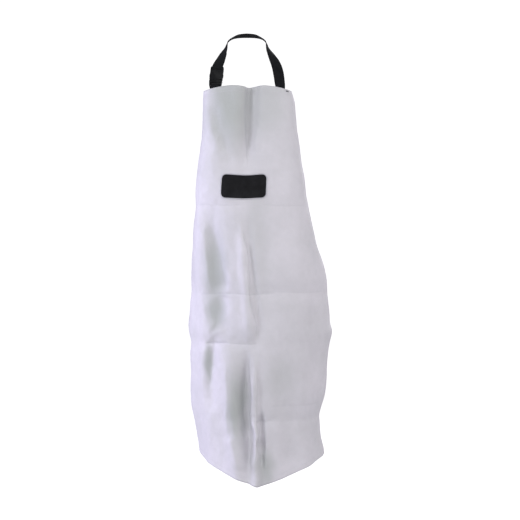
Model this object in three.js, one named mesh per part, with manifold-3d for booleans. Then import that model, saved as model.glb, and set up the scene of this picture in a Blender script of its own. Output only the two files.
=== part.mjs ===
// Brushcutter apron: one panel of coated cloth with a bib and a skirt, worn round the body, hung from a neck
// strap of black webbing with a side-release buckle on one side, and drawn together behind by a waist strap.
// Millimetres, +Z up. The origin is under the neck strap, at the nape. The front of the apron faces -Y.
import * as THREE from "three";
import { mergeVertices } from "three/addons/utils/BufferGeometryUtils.js";
import Module from "manifold-3d";

const wasm = await Module();
wasm.setup();

// Driving dimensions of the cloth panel
const APRON_LENGTH = 1089; // top edge to the lowest point of the hem
const BIB_FLAT_WIDTH = 290; // along the top edge, laid flat
const SKIRT_FLAT_WIDTH = 600; // below the waist, laid flat
const WAIST_DOWN = 350; // top edge to the waist strap
const CLOTH = 1.5; // wall of the coated cloth
const HEM_CORNER = 30; // how far the side edges draw in at the rounded lower corners
const BIB_CORNER = 12.5; // how far the top edge falls from its middle to its corners
const NECKLINE_DIP = 5; // the top edge dips this far at the groove
const FOLD_DEPTH = 20; // unit depth of the folds
// How much shorter the panel is at each side edge, and the exponent of its rise to there: 1 is a straight V,
// 2 a round bottom.
const HEM = {
  left: { rise: 96, curve: 1 },
  right: { rise: 91, curve: 1.12 },
};

// Driving dimensions of the shape that the apron is wrapped round
const BODY_HALF_WIDTH = 200; // unit width of the sections
const BODY_DEPTH = 140; // front of the skirt to the widest part of its sides
const BACK_DEPTH = 120; // how fast the sides turn in behind that
const BACK_CURL = 0.3; // share of the half width lost a quarter turn behind the sides
const BIB_DROP = 158; // nape to the top edge, downwards
const BIB_REACH = 160; // nape to the front of the bib, forwards

// Driving dimensions of the webbing, the buckle, the clasp and the patch
const WEBBING_WIDTH = 30;
const WEBBING = 1.4;
const GAP = 0.3; // clearance between pieces that lie on each other
const SEWN_LENGTH = 42; // webbing sewn to the inside of the panel
const TAIL_LENGTH = 46; // webbing turned back behind itself after a bar
const NECK_HALF_WIDTH = 58; // inside the neck strap, at the sides of the neck
const STRAP_SPREAD = 92; // middle of the panel to the middle of each strap end
const BUCKLE_WIDTH = 36;
const BUCKLE_THICK = 10;
const BUCKLE_WALL = 1.8;
const SOCKET_LENGTH = 39.5;
const PLUG_BASE_LENGTH = 20;
const PRONG_LENGTH = 24;
const BAR = 4; // height of the bars that the webbing turns round
const BAR_THICK = 3.2;
const BAR_INSET = 0.8; // rim of a buckle or clasp beyond its bars
const SLOT = 5; // opening beside each bar
const TAB_SHOWING = 5; // top edge of the bib to the lower end of the buckle
const CLASP_LENGTH = 58;
const CLASP_THICK = 8;
const WAIST_BACK = 40; // nape to the clasp, backwards
const PATCH_WIDTH = 126;
const PATCH_HEIGHT = 68;
const PATCH_THICK = 1;
const PATCH_CORNER = 14;
const PATCH_DOWN = 275; // top edge to the middle of the patch

// Horizontal sections of the apron. down is a share of the apron's length; left, right and middle are shares
// of the body's half width, from the nape's line; belly and deep are shares of the body's depth: how far the
// front stands before the bib's front, and how far behind the front the sides are widest. square is the
// exponent of the curve from front to side: 2 is an ellipse, more is boxier, less is keeled like a bow.
const SECTIONS = [
  { down: 0.0, left: -0.59, right: 0.6, middle: 0.015, belly: 0.0, deep: 0.36, square: 2.6 },
  { down: 0.035, left: -0.603, right: 0.665, middle: 0.012, belly: 0.02, deep: 0.4, square: 2.6 },
  { down: 0.086, left: -0.603, right: 0.702, middle: 0.005, belly: 0.05, deep: 0.46, square: 2.6 },
  { down: 0.135, left: -0.62, right: 0.714, middle: -0.005, belly: 0.08, deep: 0.52, square: 2.5 },
  { down: 0.186, left: -0.66, right: 0.752, middle: -0.018, belly: 0.11, deep: 0.6, square: 2.5 },
  { down: 0.237, left: -0.691, right: 0.81, middle: -0.03, belly: 0.14, deep: 0.66, square: 2.4 },
  { down: 0.288, left: -0.707, right: 0.852, middle: -0.038, belly: 0.17, deep: 0.74, square: 2.3 },
  { down: 0.39, left: -0.75, right: 0.965, middle: -0.012, belly: 0.21, deep: 0.88, square: 2.2 },
  { down: 0.442, left: -0.765, right: 1.063, middle: 0.02, belly: 0.23, deep: 0.94, square: 2.15 },
  { down: 0.493, left: -0.775, right: 1.125, middle: 0.06, belly: 0.24, deep: 0.98, square: 2.1 },
  { down: 0.596, left: -0.812, right: 1.155, middle: 0.14, belly: 0.26, deep: 1.0, square: 2.0 },
  { down: 0.621, left: -0.816, right: 1.18, middle: 0.155, belly: 0.26, deep: 1.0, square: 2.0 },
  { down: 0.673, left: -0.8, right: 1.125, middle: 0.15, belly: 0.26, deep: 1.0, square: 1.95 },
  { down: 0.775, left: -0.772, right: 1.1, middle: 0.145, belly: 0.26, deep: 1.0, square: 1.85 },
  { down: 0.827, left: -0.748, right: 1.035, middle: 0.145, belly: 0.26, deep: 0.98, square: 1.8 },
  { down: 0.878, left: -0.69, right: 1.035, middle: 0.145, belly: 0.27, deep: 0.97, square: 1.75 },
  { down: 0.924, left: -0.665, right: 1.075, middle: 0.145, belly: 0.27, deep: 0.96, square: 1.7 },
  { down: 1.0, left: -0.65, right: 1.1, middle: 0.147, belly: 0.28, deep: 0.95, square: 1.65 },
];

// Long folds. from and to are shares of the apron's length; start and end are the fold's place there, and
// width its half width, as shares of the skirt's flat half width from the middle crease; depth is a share of
// the unit depth, and is negative where the cloth falls in.
const FOLDS = [
  { name: "bib groove", from: -0.2, to: 0.24, start: 0.03, end: 0.01, width: 0.066, depth: -1.3 },
  { name: "bib side dent", from: 0.02, to: 0.23, start: -0.34, end: -0.13, width: 0.06, depth: -0.22 },
  { name: "hip valley", from: 0.26, to: 0.66, start: -0.31, end: -0.36, width: 0.11, depth: -0.65 },
  { name: "hip ridge", from: 0.33, to: 0.68, start: -0.01, end: -0.09, width: 0.05, depth: 0.4 },
  { name: "crease step", from: 0.3, to: 0.66, start: 0.035, end: 0.025, width: 0.035, depth: -0.28 },
  { name: "flank dent", from: 0.6, to: 0.84, start: -0.43, end: -0.46, width: 0.07, depth: -0.45 },
  { name: "knee ridge", from: 0.6, to: 1.2, start: -0.28, end: -0.1, width: 0.08, depth: 0.55 },
  { name: "knee valley", from: 0.64, to: 1.02, start: -0.11, end: -0.07, width: 0.055, depth: -0.9 },
  { name: "crease ridge", from: 0.66, to: 0.98, start: -0.02, end: -0.01, width: 0.028, depth: 0.55 },
  { name: "hem keel", from: 0.8, to: 1.3, start: 0.0, end: 0.0, width: 0.06, depth: 0.45 },
  { name: "hem tuck", from: 0.8, to: 0.97, start: 0.035, end: 0.045, width: 0.026, depth: -0.6 },
  { name: "right hollow", from: 0.7, to: 1.25, start: 0.4, end: 0.3, width: 0.12, depth: -0.3 },
  { name: "left side wave", from: 0.36, to: 1.3, start: -0.7, end: -0.62, width: 0.1, depth: -0.3 },
  { name: "right side wave", from: 0.4, to: 1.3, start: 0.6, end: 0.68, width: 0.1, depth: -0.3 },
];

// Creases across the apron from its folding. down is a share of its length, left and right are how deep the
// crease is on each side of the middle, as shares of the unit depth.
const CREASES = [
  { down: 0.298, left: -0.09, right: -0.09 },
  { down: 0.52, left: -0.13, right: -0.2 },
  { down: 0.644, left: -0.32, right: -0.05 },
  { down: 0.836, left: -0.1, right: -0.13 },
];
const CREASE_REACH = 22; // how far a crease's slopes run up and down
const CREASE_BLEND = 40; // the width over which left turns into right at the middle

// The grid of the panel: columns across and rows down, closer together where the folds are.
const COLUMNS = [
  { from: -1, to: -0.55, count: 9 },
  { from: -0.55, to: -0.2, count: 9 },
  { from: -0.2, to: 0.12, count: 15 },
  { from: 0.12, to: 0.55, count: 8 },
  { from: 0.55, to: 1, count: 9 },
];
const ROWS = [
  { from: 0, to: 0.298, count: 11 },
  { from: 0.298, to: 0.52, count: 7 },
  { from: 0.52, to: 0.644, count: 5 },
  { from: 0.644, to: 0.836, count: 8 },
  { from: 0.836, to: 1, count: 8 },
];
const HEM_FROM = 0.836; // the rows run level down to here, and below it turn to follow the hem

// The neck strap from the nape to the bib, the same on both sides. round and spread place it across: as a
// share of the neck's half width, and as a share of the way from there out to the strap's end. ahead and below
// are shares of the bib's reach and drop. x, y and z are the way that the strap's outer side looks.
const NECK_ROUTE = [
  { round: 0.52, spread: 0.0, ahead: 0.075, below: 0.025, x: 0.14, y: 0.24, z: 0.95 },
  { round: 0.79, spread: 0.0, ahead: 0.175, below: 0.095, x: 0.5, y: 0.12, z: 0.85 },
  { round: 0.98, spread: 0.0, ahead: 0.31, below: 0.205, x: 0.9, y: 0.0, z: 0.42 },
  { round: 1.0, spread: 0.2, ahead: 0.43, below: 0.345, x: 0.7, y: -0.55, z: 0.46 },
  { round: 1.0, spread: 0.53, ahead: 0.56, below: 0.51, x: 0.4, y: -0.85, z: 0.34 },
  { round: 1.0, spread: 0.73, ahead: 0.66, below: 0.63, x: 0.25, y: -0.9, z: 0.34 },
  { round: 1.0, spread: 0.87, ahead: 0.76, below: 0.77, x: 0.14, y: -0.93, z: 0.33 },
];
const NAPE_FACE = new THREE.Vector3(0, 0.25, 0.97); // the same at the nape
const BUCKLE_SIDE_ROWS = 4; // as many rows as lie above the buckle
const ROUTE_STEPS = 4; // stations between two rows

const { lerp, smoothstep, degToRad } = THREE.MathUtils;
const skirtHalf = SKIRT_FLAT_WIDTH / 2;
const waistShare = WAIST_DOWN / APRON_LENGTH;

// The value of one column of the sections at a share down the apron, on a smooth curve through the rows.
function sectionValue(column, down) {
  const last = SECTIONS.length - 1;
  const found = SECTIONS.findIndex((row) => row.down > down);
  const i = found < 0 ? last - 1 : Math.max(found - 1, 0);
  const row = (k) => SECTIONS[Math.min(Math.max(k, 0), last)];
  const slope = (k) => (row(k + 1)[column] - row(k - 1)[column]) / (row(k + 1).down - row(k - 1).down);
  const step = row(i + 1).down - row(i).down;
  const t = THREE.MathUtils.clamp((down - row(i).down) / step, 0, 1);
  const turned = 3 * t ** 2 - 2 * t ** 3;
  const leaving = slope(i) * (t ** 3 - 2 * t ** 2 + t);
  const arriving = slope(i + 1) * (t ** 3 - t ** 2);
  return lerp(row(i)[column], row(i + 1)[column], turned) + step * (leaving + arriving);
}

// Half of the panel's flat width: the bib widens to the waist, and the lower corners are rounded.
const WIDENS_FROM = 0.08;
const CORNER_FROM = 0.82;
function flatHalfWidth(down) {
  const widened = smoothstep(down, WIDENS_FROM, waistShare);
  const corner = HEM_CORNER * smoothstep(down, CORNER_FROM, 1) ** 2;
  return lerp(BIB_FLAT_WIDTH / 2, skirtHalf, widened) - corner;
}

// One side of a section in plan: points from the front round to the back, with their distance along the cloth.
const TURN_STEPS = 60;
const TURN_END = degToRad(150);
function sectionSide(down, side) {
  const value = (column) => sectionValue(column, down);
  const middle = value("middle") * BODY_HALF_WIDTH;
  const halfWidth = Math.abs(value(side < 0 ? "left" : "right") * BODY_HALF_WIDTH - middle);
  const front = -BIB_REACH - value("belly") * BODY_DEPTH;
  const depth = value("deep") * BODY_DEPTH;
  const power = 2 / value("square");
  const points = [];
  let run = 0;
  for (let i = 0; i <= TURN_STEPS; i += 1) {
    const turn = (TURN_END * i) / TURN_STEPS;
    const behind = turn > Math.PI / 2;
    const sine = Math.sin(turn);
    const cosine = Math.abs(Math.cos(turn));
    const x = middle + side * halfWidth * (behind ? 1 - BACK_CURL * (1 - sine) : sine ** power);
    const y = behind ? front + depth + BACK_DEPTH * cosine : front + depth * (1 - cosine ** power);
    if (i > 0) run += Math.hypot(x - points[i - 1].x, y - points[i - 1].y);
    points.push({ x, y, run });
  }
  return points;
}

// A point of a section in plan, at a signed distance along the cloth from the middle. Past the last point the
// cloth runs straight on.
function sectionPoint(down, distance) {
  const points = sectionSide(down, distance < 0 ? -1 : 1);
  const run = Math.abs(distance);
  const found = points.findIndex((point) => point.run > run);
  const i = found < 0 ? points.length - 1 : found;
  const t = (run - points[i - 1].run) / (points[i].run - points[i - 1].run);
  return { x: lerp(points[i - 1].x, points[i].x, t), y: lerp(points[i - 1].y, points[i].y, t) };
}

// How far the folds and creases push the cloth out.
const FOLD_ENDS = 0.25; // share of a fold's length over which it starts and fades
function foldHeight(down, distance) {
  let height = 0;
  for (const fold of FOLDS) {
    const t = (down - fold.from) / (fold.to - fold.from);
    const strength = smoothstep(t, 0, FOLD_ENDS) * (1 - smoothstep(t, 1 - FOLD_ENDS, 1));
    const place = lerp(fold.start, fold.end, t) * skirtHalf;
    const away = (distance - place) / (fold.width * skirtHalf);
    height += fold.depth * strength * Math.exp(-(away ** 2));
  }
  for (const crease of CREASES) {
    const rightShare = smoothstep(distance, -CREASE_BLEND, CREASE_BLEND);
    const away = (Math.abs(down - crease.down) * APRON_LENGTH) / CREASE_REACH;
    height += lerp(crease.left, crease.right, rightShare) * Math.exp(-away);
  }
  return height * FOLD_DEPTH;
}

// The panel's outer face. across runs from -1 to 1 between the side edges, along from 0 at the top edge to 1
// at the hem.
const DIP_HALF_WIDTH = 22;
const LEVEL_SHARE = 0.3; // the top edge is level as far out as this
const PLAN_STEP = 2;
function panelPoint(across, along) {
  const fromMiddle = (Math.abs(across) * BIB_FLAT_WIDTH) / 2;
  const dip = NECKLINE_DIP * Math.exp(-((fromMiddle / DIP_HALF_WIDTH) ** 2));
  const corner = BIB_CORNER * smoothstep(Math.abs(across), LEVEL_SHARE, 1);
  const top = -BIB_DROP - dip - corner;
  const level = -BIB_DROP - HEM_FROM * APRON_LENGTH;
  const { rise, curve } = across < 0 ? HEM.left : HEM.right;
  const hem = -BIB_DROP - APRON_LENGTH + rise * Math.abs(across) ** curve;
  const lower = (along - HEM_FROM) / (1 - HEM_FROM);
  const z = along < HEM_FROM ? lerp(top, level, along / HEM_FROM) : lerp(level, hem, lower);
  const down = (-BIB_DROP - z) / APRON_LENGTH;
  const distance = across * flatHalfWidth(down);
  const here = sectionPoint(down, distance);
  const before = sectionPoint(down, distance - PLAN_STEP);
  const after = sectionPoint(down, distance + PLAN_STEP);
  const outward = new THREE.Vector3(after.y - before.y, before.x - after.x, 0).normalize();
  return new THREE.Vector3(here.x, here.y, z).addScaledVector(outward, foldHeight(down, distance));
}

// The way that the panel's outer face looks at a point.
const NORMAL_STEP = 0.003;
function panelNormal(across, along) {
  const right = Math.min(across + NORMAL_STEP, 1);
  const left = Math.max(across - NORMAL_STEP, -1);
  const low = Math.min(along + NORMAL_STEP, 1);
  const high = Math.max(along - NORMAL_STEP, 0);
  const sideways = panelPoint(right, along).sub(panelPoint(left, along));
  const downwards = panelPoint(across, low).sub(panelPoint(across, high));
  return downwards.cross(sideways).normalize();
}

// A point on a layer at some height over the panel's outer face, or under it where the height is negative.
function layerPoint(across, along, height) {
  return panelPoint(across, along).addScaledVector(panelNormal(across, along), height);
}

// A closed wall between an outer and an inner grid of points, both given as rows.
function wallGeometry(outer, inner) {
  const rows = outer.length;
  const columns = outer[0].length;
  const positions = [...outer, ...inner].flat().flatMap((point) => point.toArray());
  const faces = [];
  const at = (layer, i, j) => (layer * rows + i) * columns + j;
  const quad = (a, b, c, d) => faces.push(a, b, c, a, c, d);
  for (let i = 0; i < rows - 1; i += 1) {
    for (let j = 0; j < columns - 1; j += 1) {
      quad(at(0, i, j), at(0, i + 1, j), at(0, i + 1, j + 1), at(0, i, j + 1));
      quad(at(1, i, j), at(1, i, j + 1), at(1, i + 1, j + 1), at(1, i + 1, j));
    }
    quad(at(0, i, 0), at(1, i, 0), at(1, i + 1, 0), at(0, i + 1, 0));
    quad(at(0, i, columns - 1), at(0, i + 1, columns - 1), at(1, i + 1, columns - 1), at(1, i, columns - 1));
  }
  for (let j = 0; j < columns - 1; j += 1) {
    quad(at(0, 0, j), at(0, 0, j + 1), at(1, 0, j + 1), at(1, 0, j));
    quad(at(0, rows - 1, j), at(1, rows - 1, j), at(1, rows - 1, j + 1), at(0, rows - 1, j + 1));
  }
  const geometry = new THREE.BufferGeometry();
  geometry.setAttribute("position", new THREE.Float32BufferAttribute(positions, 3));
  geometry.setIndex(faces);
  geometry.computeVertexNormals();
  return geometry;
}

// The places of grid lines from a table of bands.
function gridLines(bands) {
  const lines = [bands[0].from];
  for (const { from, to, count } of bands) {
    for (let i = 1; i <= count; i += 1) lines.push(lerp(from, to, i / count));
  }
  return lines;
}

// The cloth panel: bib and skirt in one piece.
function apronPanel() {
  const layer = (height) =>
    gridLines(ROWS).map((along) => gridLines(COLUMNS).map((across) => layerPoint(across, along, height)));
  return wallGeometry(layer(0), layer(-CLOTH));
}

// The patch on the chest: a label with rounded corners that lies on the bib and follows it.
const PATCH_COLUMNS = 18;
const PATCH_ROWS = 8;
const PATCH_LIFT = 0.6; // its flat facets clear those of the panel
function chestPatch() {
  const layer = (lift) => {
    const rows = [];
    for (let i = 0; i <= PATCH_ROWS; i += 1) {
      // Rows crowd towards the top and bottom, where the corners are.
      const height = (-Math.cos((Math.PI * i) / PATCH_ROWS) * PATCH_HEIGHT) / 2;
      const inCorner = Math.max(Math.abs(height) - (PATCH_HEIGHT / 2 - PATCH_CORNER), 0);
      const half = PATCH_WIDTH / 2 - PATCH_CORNER + Math.sqrt(PATCH_CORNER ** 2 - inCorner ** 2);
      const along = (PATCH_DOWN + height) / APRON_LENGTH;
      const row = [];
      for (let j = 0; j <= PATCH_COLUMNS; j += 1) {
        const across = lerp(-half, half, j / PATCH_COLUMNS) / flatHalfWidth(along);
        row.push(layerPoint(across, along, lift));
      }
      rows.push(row);
    }
    return rows;
  };
  return wallGeometry(layer(PATCH_LIFT + PATCH_THICK), layer(PATCH_LIFT));
}

// Webbing made from stations: each has its centre points across the width and the way that its face looks.
const ACROSS = [-1, 0, 1];
function webbing(stations) {
  const layer = (lift) =>
    stations.map(({ line, face }) => line.map((point) => point.clone().addScaledVector(face, lift)));
  return wallGeometry(layer(WEBBING / 2), layer(-WEBBING / 2));
}

// A station across a straight piece of webbing. face is squared to the webbing's run.
function station(point, run, face) {
  const direction = run.clone().normalize();
  const outward = face.clone().addScaledVector(direction, -face.dot(direction)).normalize();
  const side = outward.clone().cross(direction);
  const line = ACROSS.map((a) => point.clone().addScaledVector(side, (a * WEBBING_WIDTH) / 2));
  return { line, face: outward, point };
}

// Stations along a smooth curve through points, each with the way that the webbing's face looks there.
function routeStations(points, faces) {
  const curve = new THREE.CatmullRomCurve3(points, false, "centripetal");
  const count = (points.length - 1) * ROUTE_STEPS;
  const stations = [];
  for (let i = 0; i <= count; i += 1) {
    const k = Math.min(Math.floor(i / ROUTE_STEPS), points.length - 2);
    const face = faces[k].clone().lerp(faces[k + 1], i / ROUTE_STEPS - k);
    stations.push(station(curve.getPoint(i / count), curve.getTangent(i / count), face));
  }
  return stations;
}

// The webbing's way round a bar, in the frame of the buckle or clasp: over the bar's face side, round through
// the slot and back behind it. towards is 1 where the webbing comes from +Y, or -1 where it comes from -Y.
const BAR_TURN_STEPS = 6;
const BAR_CLEAR = 0.8 * TAB_SHOWING; // beyond the bar, where the two layers meet
const layerHeight = BAR_THICK / 2 + GAP + WEBBING / 2;
const pairHeight = (WEBBING + GAP) / 2;
function barStations(frame, barMiddle, towards) {
  const side = new THREE.Vector3(towards, 0, 0).transformDirection(frame);
  const at = (y, z, faceY, faceZ) => {
    const point = new THREE.Vector3(0, y, z).applyMatrix4(frame);
    const face = new THREE.Vector3(0, faceY, faceZ).transformDirection(frame);
    const line = ACROSS.map((a) => point.clone().addScaledVector(side, (a * WEBBING_WIDTH) / 2));
    return { line, face, point };
  };
  const outer = barMiddle + towards * (BAR / 2 + BAR_INSET);
  const away = outer + towards * BAR_CLEAR;
  const inner = barMiddle - towards * (BAR / 2);
  const stations = [at(away, pairHeight, 0, 1), at(outer, layerHeight, 0, 1)];
  for (let i = 0; i <= BAR_TURN_STEPS; i += 1) {
    const turn = (Math.PI * i) / BAR_TURN_STEPS;
    const sine = Math.sin(turn);
    const cosine = Math.cos(turn);
    stations.push(at(inner - towards * layerHeight * sine, layerHeight * cosine, -towards * sine, cosine));
  }
  stations.push(at(outer, -layerHeight, 0, -1), at(away, -pairHeight, 0, -1));
  return stations;
}

// Stations of webbing sewn to the inside of the panel. place(t, a) gives the panel's across and along at a
// share of the sewn length and of the webbing's half width. Layer 0 lies next to the cloth, layer 1 on it.
const SEWN_STEPS = 5;
const SEWN_SEAT = 0.45; // more clearance, for the facets of the curved cloth
function sewnStations(place, layer) {
  const height = -(CLOTH + SEWN_SEAT + GAP + WEBBING / 2 + layer * (WEBBING + GAP));
  const stations = [];
  for (let i = 0; i <= SEWN_STEPS; i += 1) {
    const t = i / SEWN_STEPS;
    const line = ACROSS.map((a) => layerPoint(...place(t, a), height));
    stations.push({ line, face: panelNormal(...place(t, 0)), point: line[1] });
  }
  return stations;
}

// Where a neck strap's end lies on the bib: side is -1 at the buckle and 1 at the plain end. t runs from the
// sewn end up to the top edge.
function strapPlace(side) {
  return (t, a) => {
    const along = lerp(SEWN_LENGTH, GAP, t) / APRON_LENGTH;
    return [(side * STRAP_SPREAD - (a * WEBBING_WIDTH) / 2) / flatHalfWidth(along), along];
  };
}

// The frame of the neck buckle: its origin is the socket's mouth, +Y up the strap and +Z outwards.
const BUCKLE_UP = new THREE.Vector3(0.11, 0.4, 1).normalize();
const BUCKLE_FACE = new THREE.Vector3(-0.12, -1, 0.4);
function buckleFrame() {
  const edge = strapPlace(-1)(1, 0);
  const foot = layerPoint(...edge, -CLOTH - SEWN_SEAT - GAP - WEBBING - GAP / 2);
  const side = BUCKLE_UP.clone().cross(BUCKLE_FACE).normalize();
  const face = side.clone().cross(BUCKLE_UP);
  const origin = foot.addScaledVector(BUCKLE_UP, TAB_SHOWING + PLUG_BASE_LENGTH);
  return new THREE.Matrix4().makeBasis(side, BUCKLE_UP, face).setPosition(origin);
}

// A tail turned back from a bar, behind the webbing whose last stations are given from the bar outwards.
function tailStations(stations) {
  const tail = [];
  let run = 0;
  for (let i = 1; i < stations.length && run < TAIL_LENGTH - BAR_CLEAR; i += 1) {
    run += stations[i].point.distanceTo(stations[i - 1].point);
    const back = stations[i].face.clone().multiplyScalar(-WEBBING - GAP);
    const line = stations[i].line.map((point) => point.clone().add(back));
    tail.push({ line, face: stations[i].face.clone().negate() });
  }
  return tail;
}

// The neck strap: from its sewn end behind the bib, round the neck, and round the socket's bar to its tail.
const socketBar = SOCKET_LENGTH - BAR_INSET - BAR / 2;
function neckStrap(frame) {
  const sewn = sewnStations(strapPlace(1), 0);
  const bar = barStations(frame, socketBar, 1);
  const spot = (row, side) => {
    const out = NECK_HALF_WIDTH * row.round + (STRAP_SPREAD - NECK_HALF_WIDTH) * row.spread;
    return new THREE.Vector3(side * out, -BIB_REACH * row.ahead, -BIB_DROP * row.below);
  };
  const look = (row, side) => new THREE.Vector3(side * row.x, row.y, row.z);
  const plainRows = [...NECK_ROUTE].reverse();
  const buckleRows = NECK_ROUTE.slice(0, BUCKLE_SIDE_ROWS);
  const nape = new THREE.Vector3(0, 0, WEBBING / 2);
  const points = [
    sewn.at(-1).point,
    ...plainRows.map((row) => spot(row, 1)),
    nape,
    ...buckleRows.map((row) => spot(row, -1)),
    bar[0].point,
  ];
  const faces = [
    sewn.at(-1).face,
    ...plainRows.map((row) => look(row, 1)),
    NAPE_FACE,
    ...buckleRows.map((row) => look(row, -1)),
    bar[0].face,
  ];
  const route = routeStations(points, faces).slice(1, -1);
  const tail = tailStations([bar[0], ...[...route].reverse()]);
  return webbing([...sewn, ...route, ...bar, ...tail]);
}

// The short webbing at the buckle's side: sewn end, round the plug's bar, and back down behind.
const plugBar = -PLUG_BASE_LENGTH + BAR_INSET + BAR / 2;
function neckTab(frame) {
  const place = strapPlace(-1);
  const behind = sewnStations(place, 1).reverse();
  const turned = behind.map(({ line, face }) => ({ line, face: face.clone().negate() }));
  return webbing([...sewnStations(place, 0), ...barStations(frame, plugBar, -1), ...turned]);
}

// The frame of the waist clasp: +Y to the right, +Z backwards.
function claspFrame() {
  const up = new THREE.Vector3(0, 0, 1);
  const right = new THREE.Vector3(1, 0, 0);
  const back = new THREE.Vector3(0, 1, 0);
  const middle = new THREE.Vector3(0, WAIST_BACK, -BIB_DROP - WAIST_DOWN);
  return new THREE.Matrix4().makeBasis(up, right, back).setPosition(middle);
}

// One half of the waist strap: sewn inside the panel's side edge, then round the back to the clasp.
const claspBar = CLASP_LENGTH / 2 - BAR_INSET - BAR / 2;
const SIDE_BEND = { out: 0.66, back: 0.72 }; // the strap's bend, as shares of the way from clasp to edge
function waistStrap(side, frame) {
  const place = (t, a) => {
    const along = waistShare - (side * a * WEBBING_WIDTH) / 2 / APRON_LENGTH;
    return [side * (1 - lerp(SEWN_LENGTH, GAP, t) / flatHalfWidth(along)), along];
  };
  const sewn = sewnStations(place, 0);
  const bar = barStations(frame, side * claspBar, side);
  const edge = sewn.at(-1).point;
  const end = bar[0].point;
  const bend = new THREE.Vector3(
    lerp(end.x, edge.x, SIDE_BEND.out),
    lerp(edge.y, end.y, SIDE_BEND.back),
    (edge.z + end.z) / 2,
  );
  const bendFace = new THREE.Vector3(side, 1, 0);
  const route = routeStations([edge, bend, end], [sewn.at(-1).face, bendFace, bar[0].face]).slice(1, -1);
  const tail = tailStations([bar[0], ...[...route].reverse()]);
  return webbing([...sewn, ...route, ...bar, ...tail]);
}

// Solids for joining and cutting, and back again.
const SAME_POINT = 1e-4;
function solidOf(geometry) {
  const bare = geometry.clone();
  bare.deleteAttribute("normal");
  bare.deleteAttribute("uv");
  const merged = mergeVertices(bare, SAME_POINT);
  const vertProperties = new Float32Array(merged.attributes.position.array);
  const triVerts = new Uint32Array(merged.index.array);
  return new wasm.Manifold(new wasm.Mesh({ numProp: 3, vertProperties, triVerts }));
}

function geometryOf(solid) {
  const { vertProperties, triVerts } = solid.getMesh();
  const geometry = new THREE.BufferGeometry();
  geometry.setAttribute("position", new THREE.BufferAttribute(new Float32Array(vertProperties), 3));
  geometry.setIndex([...triVerts]);
  const flat = geometry.toNonIndexed();
  flat.computeVertexNormals();
  return flat;
}

// A box between two corners.
function block(low, high) {
  const size = high.map((value, k) => value - low[k]);
  const middle = high.map((value, k) => (value + low[k]) / 2);
  return solidOf(new THREE.BoxGeometry(...size).translate(...middle));
}

// A plate with a bevelled rim, extruded from a shape and centred on its thickness.
const BEVEL = 0.8;
const BEVEL_SEGMENTS = 2;
const CURVE_SEGMENTS = 5;
function plate(shape, thick) {
  const geometry = new THREE.ExtrudeGeometry(shape, {
    depth: thick - 2 * BEVEL,
    bevelEnabled: true,
    bevelThickness: BEVEL,
    bevelSize: BEVEL,
    bevelOffset: -BEVEL,
    bevelSegments: BEVEL_SEGMENTS,
    curveSegments: CURVE_SEGMENTS,
  });
  return solidOf(geometry.translate(0, 0, -thick / 2 + BEVEL));
}

// An upright outline with rounded corners, narrower at its foot where foot is less than width.
function outline(width, foot, low, high, cornerLow, cornerHigh) {
  const shape = new THREE.Shape();
  const top = width / 2;
  const bottom = foot / 2;
  shape.moveTo(-bottom + cornerLow, low);
  shape.lineTo(bottom - cornerLow, low);
  shape.quadraticCurveTo(bottom, low, bottom, low + cornerLow);
  shape.lineTo(top, high - cornerHigh);
  shape.quadraticCurveTo(top, high, top - cornerHigh, high);
  shape.lineTo(-top + cornerHigh, high);
  shape.quadraticCurveTo(-top, high, -top, high - cornerHigh);
  shape.lineTo(-bottom, low + cornerLow);
  shape.quadraticCurveTo(-bottom, low, -bottom + cornerLow, low);
  return shape;
}

// Cuts a slot beside a bar at the end of a plate, and thins the end so that only the bar is left between
// two rails.
const SLOT_SIDE = 0.4; // webbing edge to rail
const BEYOND = 5; // how far a cut runs past what it cuts
function cutBar(solid, barMiddle, towards, thick) {
  const half = WEBBING_WIDTH / 2 + SLOT_SIDE;
  const inner = barMiddle - towards * (BAR / 2);
  const slotEnd = inner - towards * SLOT;
  const beyond = barMiddle + towards * (BAR / 2 + BAR_INSET + BEYOND);
  const span = (a, b, low, high) =>
    block([-half, Math.min(a, b), low], [half, Math.max(a, b), high]);
  const outside = thick / 2 + BEYOND;
  return solid
    .subtract(span(slotEnd, inner, -outside, outside))
    .subtract(span(slotEnd, beyond, BAR_THICK / 2, outside))
    .subtract(span(slotEnd, beyond, -outside, -BAR_THICK / 2));
}

// The socket of the neck buckle, with its mouth at the bottom and a window in each side.
const CORNER = 3;
const MOUTH_CORNER = 1.2;
const CAVITY_HALF = 3.1; // half the height of the space for the plug's prongs
const CAVITY_LENGTH = PRONG_LENGTH + GAP;
const WINDOW = { low: 6, high: 18 };
function buckleSocket() {
  const half = BUCKLE_WIDTH / 2;
  const body = plate(
    outline(BUCKLE_WIDTH, BUCKLE_WIDTH, 0, SOCKET_LENGTH, MOUTH_CORNER, CORNER),
    BUCKLE_THICK,
  );
  const inner = half - BUCKLE_WALL;
  const cavity = block([-inner, -BEYOND, -CAVITY_HALF], [inner, CAVITY_LENGTH, CAVITY_HALF]);
  const windows = block(
    [-half - BEYOND, WINDOW.low, -CAVITY_HALF],
    [half + BEYOND, WINDOW.high, CAVITY_HALF],
  );
  return geometryOf(cutBar(body, socketBar, 1, BUCKLE_THICK).subtract(cavity).subtract(windows));
}

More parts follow.
